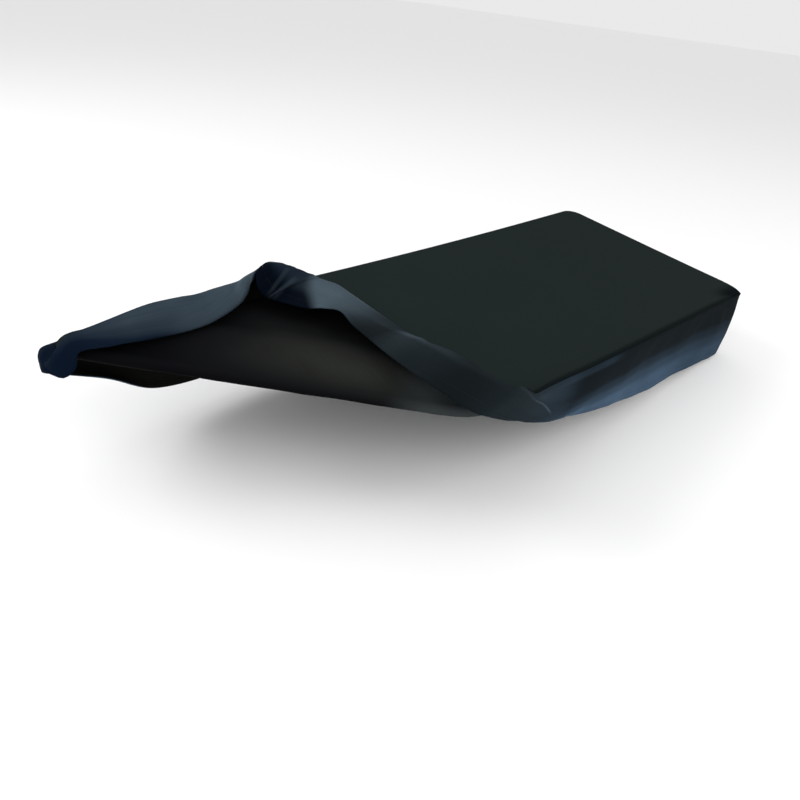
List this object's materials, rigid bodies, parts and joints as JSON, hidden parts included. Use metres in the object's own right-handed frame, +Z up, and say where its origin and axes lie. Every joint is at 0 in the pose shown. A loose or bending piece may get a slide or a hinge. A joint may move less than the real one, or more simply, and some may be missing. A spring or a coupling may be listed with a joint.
{
  "type": "piano cover",
  "caption": "Fitted cloth dust cover for a portable keyboard, a flat top with four hanging skirts, its front left corner folded back over the top.",
  "frame": {"origin": "underside of the top panel, at the middle of its length and depth", "axes": "+Z up, +X along the length to the right, +Y to the back"},
  "size_m": [0.9966, 0.3902, 0.1991],
  "materials": {
    "top_cloth": "satin",
    "skirt_cloth": "satin"
  },
  "bodies": {
    "root": {"top_panel": "top_cloth", "front_skirt": "skirt_cloth", "left_skirt": "skirt_cloth", "back_skirt": "skirt_cloth", "right_skirt": "skirt_cloth"}
  },
  "joints": []
}
